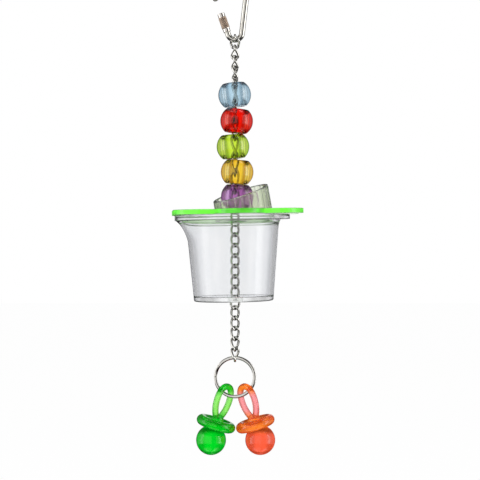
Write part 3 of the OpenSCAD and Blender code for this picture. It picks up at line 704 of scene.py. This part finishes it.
def cup_points(rounds=288):
    """A closed outline carried round the cup's middle. The flare is a power of the height, the lip adds a bell of
    the angle times a power of the height, and the floor's rings slide over to the hole's middle. Marks the hole."""
    hole_r, under_flange = floor_hole_d / 2, cup_h - flange_t
    slope = (neck_r - cup_r_low) / (under_flange - flare_h)
    h_out = np.linspace(foot_edge_r + 0.3, under_flange - flare_h, 40)
    outer = np.stack([cup_r_low + slope * (h_out - foot_edge_r), h_out], -1)
    a = np.linspace(0.1, 1, 10)
    flare = np.stack([neck_r + flare_w * a**flare_power, under_flange - flare_h * (1 - a)], -1)
    top_in = cup_r_low + slope * cup_h - wall
    low_in = cup_r_low + slope * floor_t - wall
    h_in = np.linspace(cup_h - 0.8, floor_t + 1.2, 44)
    inner = np.stack([low_in + (top_in - low_in) * (h_in - floor_t) / (cup_h - floor_t), h_in], -1)
    corners = np.concatenate([
        [[hole_r, 0], [hole_r + hole_land, 0], [floor_mid_r, 0], [cup_r_low, 0]], outer, flare,
        [[flange_r, under_flange], [flange_r, cup_h], [top_in, cup_h]], inner,
        [[low_in, floor_t], [floor_mid_r, floor_t], [hole_r + hole_land, floor_t], [hole_r, floor_t]]])
    rim = 4 + len(outer) + len(flare)
    radii = np.zeros(len(corners))
    radii[[0, 3, -1]] = hole_edge_r, foot_edge_r, hole_edge_r
    radii[rim : rim + 3] = flange_edges_r
    radii[rim + 3 + len(inner)] = inner_foot_r
    r, h = rounded(corners, radii, 5).T
    t = np.arange(rounds)[:, None] / rounds * 2 * np.pi
    middle_x = -cup_shift * np.clip((r - hole_r) / (cup_r_low - slide_room - hole_r), 0, 1)
    lift = np.clip((h - under_flange + lip_drop) / lip_drop, 0, 1) ** lip_power
    bell = np.exp(-(((t - np.pi) / lip_spread) ** 2))
    on_wall = np.clip((flange_r - r) / (flange_r - neck_r - flare_w), 0, 1) * (r > cup_r_low - wall_room)
    drilled = np.broadcast_to(r < hole_r + hole_frost, (rounds, len(r)))
    r = r + lip_reach * bell * lift * on_wall
    return np.stack([r * np.cos(t) + middle_x, r * np.sin(t), np.broadcast_to(h, r.shape)], -1), drilled


clear = Look("clear_plastic")
clear_flow = clear.noise(7.0, 3, (1, 1, 0.35))
clear_rubs = clear.noise(0.6, 4)
clear_colour = clear.mix(clear_flow.step(0.3, 0.7), (0.925, 0.935, 0.95), (0.965, 0.968, 0.975))
# Painted shade: grey bands at the outline.
clear_colour = clear.mix(clear.edge(2.2), clear_colour, (0.52, 0.53, 0.60))
# Painted light: the frosted hole through the floor glows pale grey, though the cup is no lamp; its higher roughness is
# real frost.
frosted = clear.mix(clear.marked(), (0, 0, 0), (0.34, 0.35, 0.34))
clear_rough = 0.07 + clear_rubs.step(0.55, 0.8) * 0.06 + clear.marked() * 0.4
clear_plastic = clear.finish(
    Base_Color=clear_colour, Roughness=clear_rough, IOR=1.49, Transmission_Weight=1.0,
    Emission_Color=frosted, Emission_Strength=1.0, Normal=clear.bump(clear_flow, 0.05, 0.5))
cup, drilled = cup_points()
cup = turned(cup, rig_lean) + hole_floor
make("cup", [cup], clear_plastic, "clear_cup", ["clear_cup"], marks=[drilled])


# Split ring: one flat spring wire wound in two turns that lie side by side.
# Each end steps over to the other turn on the left, where the ring is pried open.
ring_low, ring_high = (np.array(corner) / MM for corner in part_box("split_ring"))
ring_middle = (ring_low + ring_high) / 2
ring_out = (ring_high[0] - ring_low[0]) / 2
flat_w, turn_t, turn_play = 2.0, 0.95, 0.1
step_half, step_at = np.radians(20), np.radians(156)
end_room = 0.02


def split_ring_points(steps=560):
    """Two turns of a rounded flat section; the side it lies on is a half sine of the angle over the step."""
    along = np.linspace(step_half + end_room, 4 * np.pi - step_half - end_room, steps)
    side = (turn_t + turn_play) / 2 * np.sin(np.clip((along - 2 * np.pi) / step_half, -1, 1) * np.pi / 2)
    radius = ring_out - flat_w / 2
    path = np.stack([radius * np.cos(along + step_at), side, radius * np.sin(along + step_at)], -1)
    outward = np.stack([np.cos(along + step_at), 0 * along, np.sin(along + step_at)], -1)
    section = ring(20, flat_w / 2, turn_t / 2, 0.8) * domed(steps, 3)[:, None, None]
    return swept(path, outward, section) + ring_middle


spring_nickel = plated("spring_nickel", (0.88, 0.86, 0.82), (0.76, 0.73, 0.68), (0.5, 0.5, 0.5))
make("split_wire", [split_ring_points()], spring_nickel, "split_ring", ["split_ring"], (False, True))


# Pacifiers: two little dummies of see-through plastic, each moulded in one piece: a ball, a round shield with a
# thick rim, a short stem, and a tall oval loop that hangs on the ring. Both lean out, so that their shields clear.
ball_d, ball_drop = 18.0, 10.2
shield_d, shield_edge_r, shield_t = 24.0, 3.1, 3.6
loop_h, loop_w, loop_t = 25.2, 3.9, 3.5
loop_top_r, loop_side_r, loop_join, loop_foot_share = 6.2, 15.0, np.radians(15), 0.42
splay = np.radians(17)
shield_down, shield_gap, pair_right = 27.9, 0.3, 0.4
skin_cell, skin_ease, skin_rounds = 0.26, 0.5, 5
shield_z = ring_middle[2] - shield_down
# Where the shades change, as heights over the shield: from the ball to the shield, into and out of the thin sides.
ball_to_plate, thin_from, thin_until = (-6, -2), (3.5, 7.5), (17, 20.5)


def ball_points(rows=64, rounds=96):
    """A half circle of the ball's radius carried round Z, below the shield."""
    a = np.linspace(-np.pi / 2, np.pi / 2, rows)
    return revolved(ball_d / 2 * np.stack([np.cos(a), np.sin(a)], -1), rounds) - [0, 0, ball_drop]


def shield_points():
    """A thick rim round a thinner plate: a circle's arc from the plate's underside to its top, carried round Z."""
    edge = shield_d / 2 - shield_edge_r
    lift = np.arcsin(shield_t / 2 / shield_edge_r)
    a = np.linspace(-np.pi + lift, np.pi - lift, 48)
    rim = np.stack([edge + shield_edge_r * np.cos(a), shield_edge_r * np.sin(a)], -1)
    outline = np.concatenate([[[0, -shield_t / 2]], rim, [[0, shield_t / 2]]])
    return revolved(outline, 96)


def loop_path():
    """Up one side, over the top and down the other: three arcs that run on into each other. Gives the path and the
    height of its foot."""
    top_z = loop_h - loop_w / 2 - loop_top_r
    side_x = (loop_top_r - loop_side_r) * np.cos(loop_join)
    side_z = top_z + (loop_top_r - loop_side_r) * np.sin(loop_join)
    sweep = np.arccos((loop_w * loop_foot_share - side_x) / loop_side_r)
    a = np.linspace(-sweep, loop_join, 48)
    right = np.stack([side_x + loop_side_r * np.cos(a), side_z + loop_side_r * np.sin(a)], -1)
    b = np.linspace(loop_join, np.pi - loop_join, 48)[1:-1]
    top = np.stack([loop_top_r * np.cos(b), top_z + loop_top_r * np.sin(b)], -1)
    left = (right * [-1, 1])[::-1]
    flat = np.concatenate([right, top, left])
    return np.insert(flat, 1, 0, axis=1), right[0, 1]


def pacifier_forms(side, loop_turn):
    """Ball, shield, stem and loop, which overlap: the loop turned about the stem by x cos - y sin, x sin + y cos,
    and all of them leaned out and hung under the ring."""
    path, foot = loop_path()
    section = ring(28, loop_t / 2, loop_w / 2, 0.85) * domed(len(path), 5)[:, None, None]
    x, y, z = np.moveaxis(swept(path, (0, 1, 0), section).swapaxes(0, 1), -1, 0)
    c, s = np.cos(loop_turn), np.sin(loop_turn)
    loop = np.stack([x * c - y * s, x * s + y * c, z], -1)
    stem_line = [[0, -1], [4.6, 0], [4.3, 1.8], [3.3, foot + 0.9], [2.2, foot + 1.6], [0, foot + 1.7]]
    stem = revolved(np.array(stem_line), 64)
    reach = (shield_d / 2 - shield_edge_r) * np.cos(splay) + shield_edge_r
    middle = ring_middle + [pair_right + side * (reach + shield_gap / 2), 0, -shield_down]
    return [turned(form, side * splay) + middle for form in (ball_points(), shield_points(), stem, loop)]


def join(made, look):
    """Puts one closed skin of fine cells round the overlapping forms, and relaxes it a little."""
    skin = made.modifiers.new("skin", "REMESH")
    skin.mode, skin.voxel_size, skin.use_smooth_shade = "VOXEL", skin_cell * MM, True
    ease = made.modifiers.new("ease", "SMOOTH")
    ease.factor, ease.iterations = skin_ease, skin_rounds
    settled(made, look)


def jelly(name, rim, plate, ball, loop_rim, loop):
    """See-through coloured plastic: one shade in the shield, one in the ball, painted lighter up the thin sides of the
    loop, where more light comes through, with a painted dark outline everywhere and a faint painted glow. The shades
    change with the height over the shield."""
    look = Look(name)
    height = look.axis("Z")
    swirls = look.noise(3.5, 3)
    rubs = look.noise(0.6, 3)
    above_ball, on_sides, on_top = (
        height.step(shield_z + low, shield_z + high) for low, high in (ball_to_plate, thin_from, thin_until))
    thin = on_sides * (1 - on_top)
    # Painted shade: a dark outline everywhere, in the rim colours.
    outline = look.edge(2.4)
    body = look.mix(above_ball, ball, plate)
    body = look.mix(swirls.step(0.4, 0.8), body, look.mix(0.25, body, rim))
    body = look.mix(outline, body, rim)
    # Painted light: the thin sides of the loop get the lighter loop colour.
    colour = look.mix(thin, body, look.mix(outline, loop, loop_rim))
    # Painted light: a faint glow in the plastic's own colour.
    return look.finish(
        Base_Color=colour, Roughness=0.07 + rubs.step(0.5, 0.8) * 0.05, IOR=1.46, Transmission_Weight=0.88,
        Emission_Color=colour, Emission_Strength=0.08, Normal=look.bump(swirls, 0.05, 0.4))


# rim is the painted dark outline, also mixed a little into the swirls; loop_rim is the loop's painted dark outline.
green_jelly = jelly(
    "green_jelly", rim=(0.0, 0.12, 0.03), plate=(0.0, 0.62, 0.01), ball=(0.0, 0.74, 0.02),
    loop_rim=(0.06, 0.42, 0.06), loop=(0.30, 0.88, 0.16))
orange_jelly = jelly(
    "orange_jelly", rim=(0.90, 0.10, 0.0), plate=(1.0, 0.25, 0.03), ball=(1.0, 0.13, 0.06),
    loop_rim=(0.66, 0.12, 0.05), loop=(1.0, 0.34, 0.36))
for colour, side, loop_turn, look in (("green", -1, 55, green_jelly), ("orange", 1, -53, orange_jelly)):
    node = colour + "_pacifier"
    forms = pacifier_forms(side, np.radians(loop_turn))
    join(make(colour + "_dummy", forms, look, node, [node], (True, False)), look)
